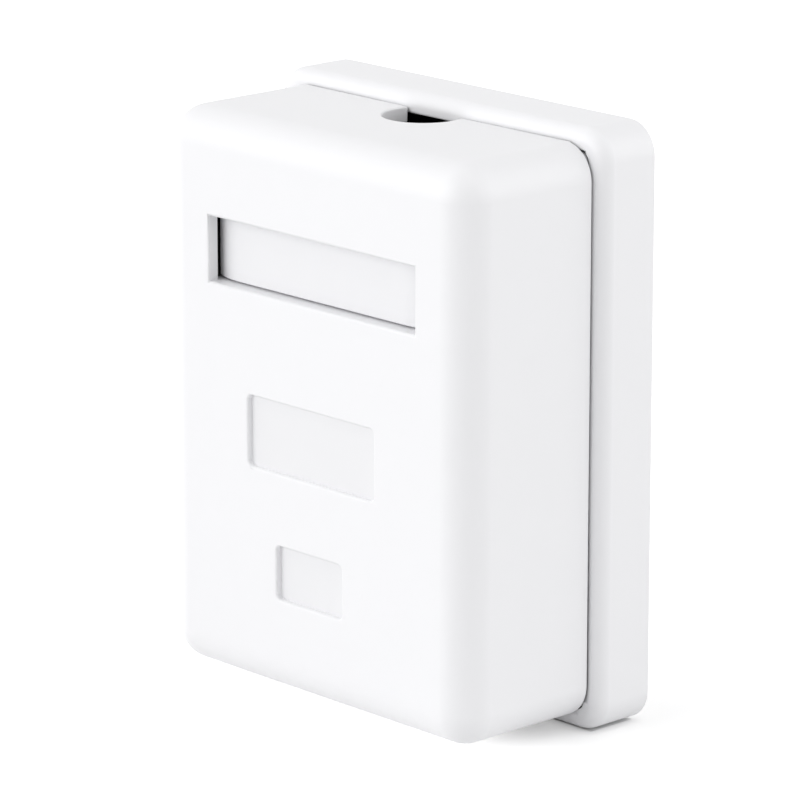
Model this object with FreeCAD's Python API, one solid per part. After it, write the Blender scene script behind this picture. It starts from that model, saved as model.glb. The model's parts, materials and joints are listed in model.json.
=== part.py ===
import FreeCAD, Part
import math
import os

# Surface mount jack box: a moulded wall base that carries a circuit board with two shielded
# eight-way jacks, a front cover that slips over it, and a label plate that hides the cover's screws.
# +X points right seen from the front, +Y into the wall and +Z up. The origin lies on the wall
# plane, midway between the four wall screws. All lengths are in millimetres.

over = 1.0                  # how far a cutter runs past the face that it cuts
join = 0.5                  # how far an added body reaches into the one that it joins

# Shells
cover_width = 61.0
cover_height = 80.0
cover_edge = 5.0            # radius of the cover's outline and round its front edge
cover_wall = 2.2
front_wall = 2.2
total_depth = 33.0
overhang = 2.0              # how far the base stands out round the cover
base_depth = 9.5
base_corner = 4.6
base_edge = 2.0
base_wall = 3.0
base_floor = 2.5
seam_gap = 0.3
slip_clearance = 0.3        # round everything that the cover slips into or over
lip_depth = 2.5

# Label window, and the plate that fills it
window_width = 41.4
window_height = 9.3
window_from_top = 19.0      # from the cover's top to the middle of the window
window_end_wall = 1.8       # thickness of the front wall at the window's two ends
window_relief = 3.0         # how far that thinner wall reaches past the ends
label_depth = 2.1
label_thickness = 0.9
label_edge_gap = 0.3
label_end_gap = 0.1
label_bow_radius = 4.0      # the plate's ends bend back
label_bow_run = 2.4
label_leg = 6.5             # from the plate's face to the ends of its clip legs
label_leg_inset = 1.0
label_leg_lead = 0.3
label_seat_gap = 0.1
pan_wall = 1.5

# Shallow fields on the front
field_corner = 0.8
name_field_width = 25.4
name_field_height = 10.1
name_field_depth = 0.8
name_field_drop = 24.2      # from the window's middle
mark_field_width = 13.3
mark_field_height = 7.7
mark_field_depth = 0.9
mark_field_drop = 43.4
mark_field_offset = 0.35    # to the left of the middle

# Cable entries
entry_radius = 5.65
entry_forward = 2.15        # from the seam to the middle of the round entry
entry_lip_gap = 3.5         # on each side of the round entry, where the cover has no lip
rear_entry_width = 14.0
rear_entry_height = 9.0
rear_entry_drop = 2.7       # from the window's middle
rear_entry_corner = 1.5

# Wall fixing
wall_screw_inset_x = 7.5    # from the base's edges to the wall slots' middles
wall_screw_inset_z = 15.0
wall_slot_length = 6.0
wall_hole_radius = 2.1

# Cover screws, and the tongues that hold the cover's other edges
cover_screw_x = 12.9
cover_screw_radius = 1.5
cover_screw_length = 10.0
cover_head_radius = 2.8
cover_head_height = 2.0
screw_tunnel_wall = 1.0
pillar_radius = 3.5
pillar_height = 9.5
head_seat = 4.0             # thickness of the tunnel's end under the screw's head
bore_clearance = 0.06
tongue_width = 5.0
tongue_reach = 4.0          # how far a tongue stands out of the lip
tongue_inset = 7.7          # from the base's side to the middle of a lower tongue
catch_thickness = 1.2
catch_height = 4.5
catch_width = 7.0
tongue_lead = 0.4

# Circuit board and its screws
board_inset = 12.5          # from each side of the base to the board
board_thickness = 1.6
board_bottom_gap = 2.7      # from the cover's bottom face to the board
board_top_drop = 8.4        # from the window's middle to the board's upper edge
board_back_gap = 5.7        # from the base's floor to the back of the board
post_width = 5.0
board_screw_inset = 4.0
board_screw_drop = 3.2
hook_width = 3.0
hook_thickness = 2.0
hook_nose = 1.1
hook_lead = 0.65
rib_thickness = 1.2
rib_height = 3.0
rib_slot_gap = 6.0          # from a wall slot's middle to the end of the rib
small_screw_radius = 1.25
small_head_radius = 2.2
small_head_height = 1.5
small_screw_length = 5.5
small_bore_floor = 0.6      # bores for small screws stop this far above the base's floor

# Shielded jacks
jack_gap = 3.8
jack_width = 16.2
jack_height = 13.5          # from the board to the front of the shell
jack_length = 19.0
shell_sheet = 0.3
insert_clearance = 0.05
nose_clearance = 0.35       # round the jack's nose in the cover's slot
plug_width = 11.9
plug_height = 7.0
plug_depth = 13.4
plug_floor = 2.3            # from the board to the plug chamber
latch_steps = ((6.3, 1.4), (3.9, 1.3))
shell_spring = (4.0, 11.0)  # the slit spring in each side of the shell, from the mouth
shell_spring_rise = (5.5, 8.5)
shell_slit = 0.4
comb_end_wall = 1.2
contact_pitch = 1.02
contact_count = 8
contact_thickness = 0.3
contact_width = 0.45
contact_fold = 0.5
contact_rise = 2.4          # how far a free contact stands into the plug chamber
comb_start = 2.6            # from the mouth to the contact window
comb_length = 4.5
foot_row = 1.3              # between the two rows of contact feet
foot_back = 2.4             # from the back of the jack to the nearer row
tip_back = 2.2              # from the end of the plug chamber to the contact tips

# Terminal blocks
ways = 4
way_pitch = 3.8
block_end = 1.2
block_height = 12.0
block_gap = 1.2
block_row_gap = 1.8
block_jack_gap = 5.5
block_screw_gap = 0.9
wire_slot = 0.9
wire_slot_depth = 5.5
lead_in = 2.0               # width of a slot's flared mouth
lead_in_depth = 2.1
bevel_width = 1.6           # along the fingers' outer tips
bevel_height = 3.2
fork_width = 2.6
fork_thickness = 0.5
fork_height = 10.0
fork_slit = 0.35
fork_mouth = 1.0
fork_pocket = 2.9

# Shield tray and cable clamp
tray_sheet = 0.5
tray_side_gap = 0.3
tray_side_height = 9.5
tray_tongue_gap = 0.4       # on each side, to the cover's screw pillars
tray_bend = 1.0
tray_top_gap = 3.0          # from the tray's upper end to the board's
platform_margin = (0.8, 0.6)
clamp_drop = 10.2           # from the cover's top to the middle of the clamp
clamp_width = 6.0
clamp_screw_gap = 1.9       # from the strap's side to the edge of the screw's head
clamp_thickness = 1.0
clamp_foot_margin = 0.9
clamp_rest_gap = 0.2
cable_radius = 3.75
cable_clearance = 0.15

# Planes that several pieces share
wall_y = 0.0
front_y = wall_y - total_depth
base_front_y = wall_y - base_depth
floor_y = wall_y - base_floor
cover_rear_y = base_front_y - seam_gap
board_back_y = floor_y - board_back_gap
board_y = board_back_y - board_thickness
jack_front_y = board_y - jack_height
cover_top_z = cover_height / 2
window_z = cover_top_z - window_from_top
name_field_z = window_z - name_field_drop
mark_field_z = window_z - mark_field_drop
rear_entry_z = window_z - rear_entry_drop
clamp_z = cover_top_z - clamp_drop
nose_z = -cover_top_z
jack_back_z = nose_z + jack_length
comb_start_z = nose_z + comb_start
base_width = cover_width + 2 * overhang
base_height = cover_height + 2 * overhang
pan_floor_y = front_y + label_depth + label_thickness + label_seat_gap
pan_back_y = pan_floor_y + pan_wall
pillar_top_y = floor_y - pillar_height
tunnel_end_y = pillar_top_y - slip_clearance
head_seat_y = tunnel_end_y - head_seat
tunnel_radius = cover_head_radius + slip_clearance + screw_tunnel_wall
platform_back_y = board_y + tray_sheet
wall_spacing_x = base_width - 2 * wall_screw_inset_x
wall_spacing_z = base_height - 2 * wall_screw_inset_z
tongue_low_x = base_width / 2 - tongue_inset
board_width = base_width - 2 * board_inset
board_bottom = nose_z + board_bottom_gap
board_top = window_z - board_top_drop
board_screw_x = board_width / 2 - board_screw_inset
board_screw_z = board_top - board_screw_drop
jack_pitch = jack_width + jack_gap
block_room = (board_screw_z - small_head_radius - block_screw_gap) - (jack_back_z + block_jack_gap)
block_width = (block_room - block_row_gap) / 2
block_low_z = jack_back_z + block_jack_gap + block_width / 2
block_high_z = block_low_z + block_width + block_row_gap
tray_tongue_width = 2 * (cover_screw_x - pillar_radius - tray_tongue_gap)
clamp_screw_x = cable_radius + cable_clearance + clamp_thickness + clamp_screw_gap + small_head_radius
cover_screws_x = (-cover_screw_x, cover_screw_x)
board_screws_x = (-board_screw_x, board_screw_x)
clamp_screws_x = (-clamp_screw_x, clamp_screw_x)
screw_hole = small_screw_radius + 0.15
clamp_foot_end = clamp_screw_x + small_head_radius + clamp_foot_margin
lip_thickness = overhang + cover_wall - base_wall - slip_clearance


def vec(x, y, z):
    return FreeCAD.Vector(x, y, z)


def block(x, y, z):
    """A box between the two limits given along each axis."""
    corner = vec(min(x), min(y), min(z))
    return Part.makeBox(abs(x[1] - x[0]), abs(y[1] - y[0]), abs(z[1] - z[0]), corner)


def rod(radius, x, z, y):
    """A cylinder along Y between the two limits in y."""
    return Part.makeCylinder(radius, abs(y[1] - y[0]), vec(x, min(y), z), vec(0, 1, 0))


def rounded_plate(width, height, radius, y, x_mid=0.0, z_mid=0.0):
    """A rounded rectangle facing the wall, carried along Y between the two limits in y."""
    x_limits = (x_mid - width / 2, x_mid + width / 2)
    z_limits = (z_mid - height / 2, z_mid + height / 2)
    plate = block(x_limits, y, z_limits)
    corners = [edge for edge in plate.Edges if edge.BoundBox.YLength > abs(y[1] - y[0]) / 2]
    return plate.makeFillet(radius, corners)


def round_rim(shape, y, radius):
    """Round the edges that lie in the plane at y."""
    rim = [edge for edge in shape.Edges
           if abs(edge.BoundBox.YMin - y) < 1e-3 and abs(edge.BoundBox.YMax - y) < 1e-3]
    return shape.makeFillet(radius, rim)


def slot(length, radius, x, z, y):
    """A slot with round ends that runs along X, cut along Y."""
    reach = length / 2 - radius
    middle = block((x - reach, x + reach), y, (z - radius, z + radius))
    return middle.fuse([rod(radius, x - reach, z, y), rod(radius, x + reach, z, y)])


def screw(x, z, seat_y, radius, length, head_radius, head_height):
    """A cross-recessed screw whose head sits on seat_y and whose shank runs towards the wall."""
    head = rod(head_radius, x, z, (seat_y - head_height, seat_y))
    shank = rod(radius, x, z, (seat_y, seat_y + length))
    arm = head_radius * 0.55
    cut_y = (seat_y - head_height - 1, seat_y - head_height * 0.4)
    blade = head_radius * 0.13
    cross = block((x - arm, x + arm), cut_y, (z - blade, z + blade))
    cross = cross.fuse(block((x - blade, x + blade), cut_y, (z - arm, z + arm)))
    return head.fuse(shank).cut(cross).removeSplitter()


def corners_of(x, z):
    """The four corners of a rectangle about the origin."""
    return [(side * x, end * z) for side in (-1, 1) for end in (-1, 1)]


def base():
    """The wall tray: floor, rounded rim, pillars, posts, catches, wall slots and the rear entry."""
    body = rounded_plate(base_width, base_height, base_corner, (base_front_y, wall_y))
    body = round_rim(body, base_front_y, base_edge)
    inside_corner = base_corner - base_wall
    body = body.cut(rounded_plate(base_width - 2 * base_wall, base_height - 2 * base_wall,
                                  inside_corner, (base_front_y - over, floor_y)))

    raised = [rod(pillar_radius, x, window_z, (pillar_top_y, floor_y)) for x in cover_screws_x]
    raised += [catch_for(*place) for place in tongue_places()]
    raised += [post(x, board_screw_z, board_back_y) for x in board_screws_x]
    raised += [post(x, clamp_z, platform_back_y) for x in clamp_screws_x]
    raised.append(board_hook())
    rib_x = board_width / 2 + tray_side_gap + tray_sheet + slip_clearance
    rib_z = (-wall_spacing_z / 2 + rib_slot_gap, board_top - tray_top_gap)
    raised += [block((side * rib_x, side * (rib_x + rib_thickness)), (floor_y - rib_height, floor_y), rib_z)
               for side in (-1, 1)]
    body = body.fuse(raised)

    bore = cover_screw_radius + bore_clearance
    small_bore = small_screw_radius + bore_clearance
    bore_end = floor_y - small_bore_floor
    cuts = [rod(bore, x, window_z, (pillar_top_y - over, bore_end)) for x in cover_screws_x]
    cuts += [rod(small_bore, x, board_screw_z, (board_back_y - over, bore_end)) for x in board_screws_x]
    cuts += [rod(small_bore, x, clamp_z, (platform_back_y - over, bore_end)) for x in clamp_screws_x]
    cuts += [slot(wall_slot_length, wall_hole_radius, x, z, (floor_y - over, wall_y + over))
             for x, z in corners_of(wall_spacing_x / 2, wall_spacing_z / 2)]
    cuts.append(rounded_plate(rear_entry_width, rear_entry_height, rear_entry_corner,
                              (floor_y - over, wall_y + over), 0, rear_entry_z))
    return body.cut(cuts).removeSplitter()


def post(x, z, top_y):
    """A square screw post that stands on the base's floor."""
    half = post_width / 2
    return block((x - half, x + half), (top_y, floor_y), (z - half, z + half))


def board_hook():
    """The hook that holds the board's lower edge, between the two jacks."""
    half = hook_width / 2
    nose_y = board_y - insert_clearance
    top_z = board_bottom + slip_clearance / 2 + hook_thickness
    stem = block((-half, half), (nose_y - hook_nose, floor_y), (top_z - hook_thickness, top_z))
    nose = block((-half, half), (nose_y - hook_nose, nose_y), (top_z - join, top_z + hook_nose))
    slope = [edge for edge in nose.Edges
             if edge.BoundBox.XLength > half and edge.BoundBox.YMax < nose_y - hook_nose / 2
             and edge.BoundBox.ZMin > top_z]
    return stem.fuse(nose.makeChamfer(hook_lead, slope))


def hook_notch(y):
    """The cutter that makes room for the hook in the lower edge of a sheet or board."""
    half = hook_width / 2 + slip_clearance
    top_z = board_bottom + slip_clearance / 2 + hook_thickness + slip_clearance
    return block((-half, half), y, (board_bottom - over, top_z))


def tongue_places():
    """Each tongue: the middle of its width, and the side of the box that it stands on."""
    return [(-tongue_low_x, "bottom"), (tongue_low_x, "bottom"), (0.0, "left"), (0.0, "right")]


def along_wall(middle, side, width, inset, thickness, y):
    """An upright strip beside a wall of the base, set in from that wall's inner face."""
    across = (middle - width / 2, middle + width / 2)
    if side == "bottom":
        inner = -base_height / 2 + base_wall + inset
        return block(across, y, (inner, inner + thickness))
    sign = 1 if side == "right" else -1
    inner = sign * (base_width / 2 - base_wall - inset)
    return block((inner, inner - sign * thickness), y, across)


def catch_for(middle, side):
    """The rib that keeps a tongue against the base's wall."""
    inset = 2 * slip_clearance + lip_thickness
    return along_wall(middle, side, catch_width, inset, catch_thickness,
                      (floor_y - catch_height, floor_y))


def tongue_for(middle, side):
    """A tongue on the cover's lip, with a lead-in at its end."""
    end_y = base_front_y + lip_depth + tongue_reach
    tongue = along_wall(middle, side, tongue_width, slip_clearance, lip_thickness,
                        (base_front_y, end_y))
    tip = [edge for edge in tongue.Edges
           if edge.BoundBox.YMin > end_y - 1e-3 and edge.Length > lip_thickness + 1e-3]
    return tongue.makeChamfer(tongue_lead, tip)


def front_cover():
    """The moulded shell with its label pan, screw tunnels, tongues, jack slots and cable entry."""
    shell = rounded_plate(cover_width, cover_height, cover_edge, (front_y, cover_rear_y))
    shell = round_rim(shell, front_y, cover_edge)
    cavity = rounded_plate(cover_width - 2 * cover_wall, cover_height - 2 * cover_wall,
                           cover_edge - cover_wall, (front_y + front_wall, wall_y))
    lip_out = base_wall + slip_clearance
    lip = rounded_plate(base_width - 2 * lip_out, base_height - 2 * lip_out,
                        base_corner - lip_out, (cover_rear_y - join, base_front_y + lip_depth))
    shell = shell.fuse(lip).cut(cavity)

    inner_y = front_y + front_wall
    grown = [block((-window_width / 2 - pan_wall, window_width / 2 + pan_wall), (inner_y - join, pan_back_y),
                   (window_z - window_height / 2 - pan_wall, window_z + window_height / 2 + pan_wall))]
    grown += [rod(tunnel_radius, x, window_z, (pan_back_y - join, tunnel_end_y)) for x in cover_screws_x]
    grown += [tongue_for(*place) for place in tongue_places()]
    shell = shell.fuse(grown)

    window_zs = (window_z - window_height / 2, window_z + window_height / 2)
    pocket = block((-window_width / 2, window_width / 2), (front_y - over, pan_floor_y), window_zs)
    cuts = [pocket, cable_entry_cut()]
    cuts.append(field(name_field_width, name_field_height, name_field_depth, 0.0, name_field_z))
    cuts.append(field(mark_field_width, mark_field_height, mark_field_depth, -mark_field_offset, mark_field_z))
    leg_room = label_end_gap + label_leg_inset + label_thickness + slip_clearance
    for side in (-1, 1):
        edge = side * window_width / 2
        cuts.append(block((edge, edge - side * leg_room), (front_y, pan_back_y + over), window_zs))
        cuts.append(block((edge, edge + side * window_relief), (front_y + window_end_wall, pan_back_y + over),
                          window_zs))
        cuts.append(rod(cover_head_radius + slip_clearance, side * cover_screw_x, window_z,
                        (pan_floor_y - over, head_seat_y)))
        cuts.append(rod(cover_screw_radius + slip_clearance, side * cover_screw_x, window_z,
                        (head_seat_y - over, tunnel_end_y + over)))
        nose = jack_width / 2 + nose_clearance
        middle = side * jack_pitch / 2
        cuts.append(block((middle - nose, middle + nose), (jack_front_y - nose_clearance, cover_rear_y + over),
                          (nose_z - over, nose_z + cover_wall + over)))
    outermost = (jack_pitch + jack_width) / 2 + nose_clearance
    cuts.append(block((-outermost, outermost), (cover_rear_y, base_front_y + lip_depth + over),
                      (nose_z - over, nose_z + cover_wall + over)))
    return shell.cut(cuts).removeSplitter()


def field(width, height, depth, x_mid, z_mid):
    """The cutter for a shallow field on the front."""
    return rounded_plate(width, height, field_corner, (front_y - over, front_y + depth), x_mid, z_mid)


def cable_entry_cut():
    """The round cable entry in the top wall, open towards the base."""
    middle_y = cover_rear_y - entry_forward
    half_mouth = math.sqrt(entry_radius ** 2 - entry_forward ** 2)
    z_limits = (cover_top_z - cover_wall - over, cover_top_z + over)
    cutter = Part.makeCylinder(entry_radius, z_limits[1] - z_limits[0], vec(0, middle_y, z_limits[0]))
    mouth = block((-half_mouth, half_mouth), (middle_y, cover_rear_y + over), z_limits)
    gap_half = half_mouth + entry_lip_gap
    lip_gap = block((-gap_half, gap_half), (cover_rear_y, base_front_y + lip_depth + over), z_limits)
    return cutter.fuse([mouth, lip_gap])


def label_plate():
    """A thin plate whose ends bend back a little, on two clip legs that pass through the pan."""
    plate_y = front_y + label_depth
    half_x = window_width / 2 - label_end_gap
    half_z = window_height / 2 - label_edge_gap
    z_limits = (window_z - half_z, window_z + half_z)
    centre = (half_x - label_bow_run, plate_y + label_bow_radius)
    turn = math.asin(label_bow_run / label_bow_radius)

    def bow(radius, side, share):
        """A point on the bent end, at a share of its whole turn."""
        return vec(side * (centre[0] + radius * math.sin(turn * share)),
                   centre[1] - radius * math.cos(turn * share), z_limits[0])

    face, back = label_bow_radius, label_bow_radius - label_thickness
    edges = [Part.makeLine(bow(face, -1, 0), bow(face, 1, 0)), Part.makeLine(bow(back, -1, 0), bow(back, 1, 0))]
    for side in (-1, 1):
        edges += [Part.Arc(bow(radius, side, 0), bow(radius, side, 0.5), bow(radius, side, 1)).toShape()
                  for radius in (face, back)]
        edges.append(Part.makeLine(bow(face, side, 1), bow(back, side, 1)))
    outline = Part.Wire(Part.__sortEdges__(edges))
    plate = Part.Face(outline).extrude(vec(0, 0, 2 * half_z))
    tip_y = plate_y + label_leg
    legs = []
    for side in (-1, 1):
        outer_x = side * (half_x - label_leg_inset)
        leg = block((outer_x, outer_x - side * label_thickness), (plate_y + label_thickness - join, tip_y), z_limits)
        legs.append(leg.makeChamfer(label_leg_lead, edges_along_z(leg, tip_y)))
    return plate.fuse(legs).removeSplitter()


def edges_along_z(shape, y):
    """The upright edges that lie in the plane at y."""
    return [edge for edge in shape.Edges
            if edge.BoundBox.ZLength > 1 and abs(edge.BoundBox.YMax - y) < 1e-3]


def cover_screws():
    screws = [screw(x, window_z, head_seat_y, cover_screw_radius, cover_screw_length,
                    cover_head_radius, cover_head_height) for x in cover_screws_x]
    return Part.makeCompound(screws)


def board_screws():
    screws = [screw(x, board_screw_z, board_y, small_screw_radius, small_screw_length,
                    small_head_radius, small_head_height) for x in board_screws_x]
    return Part.makeCompound(screws)


def circuit_board():
    board = block((-board_width / 2, board_width / 2), (board_y, board_back_y), (board_bottom, board_top))
    through = (board_y - over, board_back_y + over)
    holes = [rod(screw_hole, x, board_screw_z, through) for x in board_screws_x]
    return board.cut(holes + [hook_notch(through)])


def plug_chamber(x_mid, z_limits):
    """The jack's mouth: the plug's chamber and the stepped keyway for its latch."""
    y = board_y - plug_floor
    chamber = block((x_mid - plug_width / 2, x_mid + plug_width / 2), (y, y - plug_height), z_limits)
    y -= plug_height
    steps = []
    for width, height in latch_steps:
        steps.append(block((x_mid - width / 2, x_mid + width / 2), (y + join, y - height), z_limits))
        y -= height
    return chamber.fuse(steps).removeSplitter()


def jack_shell(x_mid):
    """The folded screen round a jack, open towards the board and at the mouth."""
    half = jack_width / 2
    outer = block((x_mid - half, x_mid + half), (board_y, jack_front_y), (nose_z, jack_back_z))
    inner = block((x_mid - half + shell_sheet, x_mid + half - shell_sheet),
                  (board_y + over, jack_front_y + shell_sheet),
                  (nose_z + shell_sheet, jack_back_z - shell_sheet))
    shell = outer.cut([inner, plug_chamber(x_mid, (nose_z - over, nose_z + over))])
    across = (x_mid - half - over, x_mid + half + over)
    spring_z = (nose_z + shell_spring[0], nose_z + shell_spring[1])
    spring_y = (board_y - shell_spring_rise[0], board_y - shell_spring_rise[1])
    slits = [block(across, (y, y + shell_slit), spring_z) for y in spring_y]
    slits.append(block(across, (spring_y[0] + shell_slit, spring_y[1]),
                       (spring_z[0], spring_z[0] + shell_slit)))
    return shell.cut(slits).removeSplitter()


def jack_housing(x_mid):
    """The insulating body inside the screen, with the contact window and its comb."""
    half = jack_width / 2 - shell_sheet - insert_clearance
    z_front = nose_z + shell_sheet + insert_clearance
    z_back = jack_back_z - shell_sheet - insert_clearance
    body = block((x_mid - half, x_mid + half),
                 (board_y, jack_front_y + shell_sheet + insert_clearance), (z_front, z_back))
    window_half = contact_pitch * contact_count / 2
    window = block((x_mid - window_half, x_mid + window_half),
                   (board_y + over, board_y - plug_floor - join), (comb_start_z, z_back - comb_end_wall))
    body = body.cut([plug_chamber(x_mid, (nose_z - over, nose_z + plug_depth)), window])
    rib = contact_pitch - contact_width - 2 * insert_clearance
    ribs = [block((x_mid + i * contact_pitch - rib / 2, x_mid + i * contact_pitch + rib / 2),
                  (board_y, board_y - plug_floor), (comb_start_z - join, comb_start_z + comb_length))
            for i in range(1 - contact_count // 2, contact_count // 2)]
    return body.fuse(ribs).removeSplitter()


def jack_contacts(x_mid):
    """Eight springs: up from the board, along behind the plug, and back into its chamber."""
    springs = []
    for i in range(contact_count):
        x = x_mid + (i - (contact_count - 1) / 2) * contact_pitch
        foot_z = jack_back_z - foot_back - foot_row * (i % 2)
        turn_z = comb_start_z + contact_fold
        run_y = board_y - plug_floor / 2
        springs.append(folded_strip(x, contact_width, contact_thickness, [
            (board_y, foot_z), (run_y, foot_z), (run_y, turn_z + contact_fold),
            (run_y - contact_fold / 2, turn_z), (run_y - contact_fold * 1.5, turn_z + contact_fold / 3),
            (board_y - plug_floor - contact_rise, nose_z + plug_depth - tip_back)]))
    return Part.makeCompound(springs)


def folded_strip(x, width, thickness, line):
    """A flat strip folded along a line of (y, z) points, with mitred corners."""
    sides = []
    for offset in (-thickness / 2, thickness / 2):
        side = []
        for i, point in enumerate(line):
            before = line[max(i - 1, 0)]
            after = line[min(i + 1, len(line) - 1)]
            into = unit(point, before) if i else unit(after, point)
            out = unit(after, point) if i < len(line) - 1 else into
            bisector = (into[0] + out[0], into[1] + out[1])
            length = math.hypot(*bisector)
            reach = offset * 2 / length ** 2
            side.append(vec(x - width / 2, point[0] - bisector[1] * reach, point[1] + bisector[0] * reach))
        sides.append(side)
    outline = sides[0] + sides[1][::-1]
    return Part.Face(Part.makePolygon(outline + outline[:1])).extrude(vec(width, 0, 0))


def unit(end, start):
    """The direction from start to end, as a unit pair."""
    length = math.dist(end, start)
    return ((end[0] - start[0]) / length, (end[1] - start[1]) / length)


def block_length():
    return ways * way_pitch + 2 * block_end


def way_places(x_mid):
    return [x_mid + (i - (ways - 1) / 2) * way_pitch for i in range(ways)]


def prism(corners, along):
    """A straight prism over the given corner points."""
    return Part.Face(Part.makePolygon(corners + corners[:1])).extrude(along)


def terminal_block(x_mid, z_mid):
    """A punch-down block: bevelled fingers on both sides of each wire slot."""
    half = block_length() / 2
    top_y = board_y - block_height
    z_limits = (z_mid - block_width / 2, z_mid + block_width / 2)
    body = block((x_mid - half, x_mid + half), (board_y, top_y), z_limits)
    cuts = []
    pocket_y = (board_y - fork_height - 2 * insert_clearance, board_y + over)
    for x in way_places(x_mid):
        cuts.append(block((x - wire_slot / 2, x + wire_slot / 2), (top_y - over, top_y + wire_slot_depth),
                          (z_limits[0] - over, z_limits[1] + over)))
        cuts.append(prism([vec(x - lead_in / 2, top_y, z_limits[0] - over),
                           vec(x + lead_in / 2, top_y, z_limits[0] - over),
                           vec(x, top_y + lead_in_depth, z_limits[0] - over)],
                          vec(0, 0, block_width + 2 * over)))
        cuts.append(turned(block((-fork_pocket / 2, fork_pocket / 2), pocket_y,
                                 (-fork_thickness, fork_thickness)), x, z_mid))
    start_x = x_mid - half - over
    for side, z in zip((-1, 1), z_limits):
        cuts.append(prism([vec(start_x, top_y, z), vec(start_x, top_y, z - side * bevel_width),
                           vec(start_x, top_y + bevel_height, z)],
                          vec(block_length() + 2 * over, 0, 0)))
    return body.cut(cuts).removeSplitter()


def turned(shape, x, z):
    """A shape made about the Y axis, turned across its wire slot and put in place."""
    shape.rotate(vec(0, 0, 0), vec(0, 1, 0), 45)
    shape.translate(vec(x, 0, z))
    return shape


def terminal_contacts(x_mid, z_mid):
    """Four forks, each turned across its wire slot so that its slit bites the wire."""
    forks = []
    tip_y = board_y - fork_height
    low = -fork_thickness
    for x in way_places(x_mid):
        fork = block((-fork_width / 2, fork_width / 2), (board_y, tip_y),
                     (-fork_thickness / 2, fork_thickness / 2))
        slit = block((-fork_slit / 2, fork_slit / 2), (tip_y - over, tip_y + fork_height / 2), (low, -low))
        mouth = prism([vec(-fork_mouth / 2, tip_y, low), vec(fork_mouth / 2, tip_y, low),
                       vec(0, tip_y + fork_mouth, low)], vec(0, 0, -2 * low))
        forks.append(turned(fork.cut([slit, mouth]), x, z_mid))
    return Part.makeCompound(forks)


def shield_tray():
    """Folded sheet under the board: a floor, two upright sides and a tongue that climbs to the clamp."""
    half = board_width / 2 + tray_side_gap + tray_sheet
    low_z = board_bottom
    floor_front = floor_y - tray_sheet
    platform_z = (clamp_z - clamp_width / 2 - platform_margin[0],
                  clamp_z + clamp_width / 2 + platform_margin[1])
    platform_half = clamp_foot_end + slip_clearance
    riser_z = platform_z[0]
    high_z = board_top - tray_top_gap
    tray = block((-half, half), (floor_front - tray_side_height, floor_y), (low_z, high_z))
    tray = tray.makeFillet(tray_bend, edges_along_z(tray, floor_y))
    hollow = block((-half + tray_sheet, half - tray_sheet),
                   (floor_front - tray_side_height - over, floor_front), (low_z, high_z))
    hollow = hollow.makeFillet(tray_bend - tray_sheet, edges_along_z(hollow, floor_front))
    tray = tray.cut(hollow)
    tongue_half = tray_tongue_width / 2
    tongue = block((-tongue_half, tongue_half), (floor_front, floor_y), (high_z - join, riser_z))
    riser = block((-tongue_half, tongue_half), (board_y, floor_y), (riser_z - tray_sheet, riser_z))
    platform = block((-platform_half, platform_half), (board_y, platform_back_y), platform_z)
    step = block((-tongue_half, tongue_half), (board_y, platform_back_y), (riser_z - tray_sheet, riser_z))
    tray = tray.fuse([tongue, riser, platform, step])

    room = post_width / 2 + slip_clearance
    through = (floor_front - over, floor_y + over)
    cuts = [block((x - room, x + room), through, (board_screw_z - room, board_top)) for x in board_screws_x]
    cuts.append(block((-rear_entry_width / 2, rear_entry_width / 2), through,
                      (rear_entry_z - rear_entry_height / 2, rear_entry_z + rear_entry_height / 2)))
    cuts += [rod(screw_hole, x, clamp_z, (board_y - over, platform_back_y + over)) for x in clamp_screws_x]
    cuts.append(hook_notch(through))
    return tray.cut(cuts).removeSplitter()


def cable_clamp():
    """A strap bent over the cable, with a flat foot on each side."""
    foot_y = board_y - clamp_rest_gap
    axis_y = board_y - cable_radius
    inner = cable_radius + cable_clearance
    outer = inner + clamp_thickness
    z_limits = (clamp_z - clamp_width / 2, clamp_z + clamp_width / 2)

    def arch(radius):
        """A half-round tunnel profile of the given radius, carried along Z."""
        round_part = Part.makeCylinder(radius, clamp_width, vec(0, axis_y, z_limits[0]))
        legs = block((-radius, radius), (axis_y, foot_y), z_limits)
        lower = block((-2 * outer, 2 * outer), (axis_y, axis_y + 2 * outer), z_limits)
        return round_part.cut(lower).fuse(legs)

    strap = arch(outer)
    feet = block((-clamp_foot_end, clamp_foot_end), (foot_y - clamp_thickness, foot_y), z_limits)
    holes = [rod(screw_hole, x, clamp_z, (foot_y - clamp_thickness - over, foot_y + over))
             for x in clamp_screws_x]
    return strap.fuse(feet).cut([arch(inner)] + holes).removeSplitter()


def clamp_screws():
    seat_y = board_y - clamp_rest_gap - clamp_thickness
    screws = [screw(x, clamp_z, seat_y, small_screw_radius, small_screw_length,
                    small_head_radius, small_head_height) for x in clamp_screws_x]
    return Part.makeCompound(screws)


def build():
    """Every node of the box, by name."""
    nodes = {
        "base": base(),
        "front_cover": front_cover(),
        "label_plate": label_plate(),
        "cover_screws": cover_screws(),
        "shield_tray": shield_tray(),
        "circuit_board": circuit_board(),
        "board_screws": board_screws(),
        "cable_clamp": cable_clamp(),
        "clamp_screws": clamp_screws(),
    }
    for side, name in ((-1, "left"), (1, "right")):
        x_mid = side * jack_pitch / 2
        nodes["jack_shell_" + name] = jack_shell(x_mid)
        nodes["jack_housing_" + name] = jack_housing(x_mid)
        nodes["jack_contacts_" + name] = jack_contacts(x_mid)
        block_x = side * (block_gap + block_length()) / 2
        for row, z_mid in (("upper", block_high_z), ("lower", block_low_z)):
            nodes["terminal_block_%s_%s" % (row, name)] = terminal_block(block_x, z_mid)
            nodes["terminal_contacts_%s_%s" % (row, name)] = terminal_contacts(block_x, z_mid)
    return nodes


os.makedirs("parts", exist_ok=True)
for node, shape in build().items():
    shape.exportStep("parts/" + node + ".step")
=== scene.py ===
import json
import math

import bmesh
import bpy
from mathutils import Matrix, Vector

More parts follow.
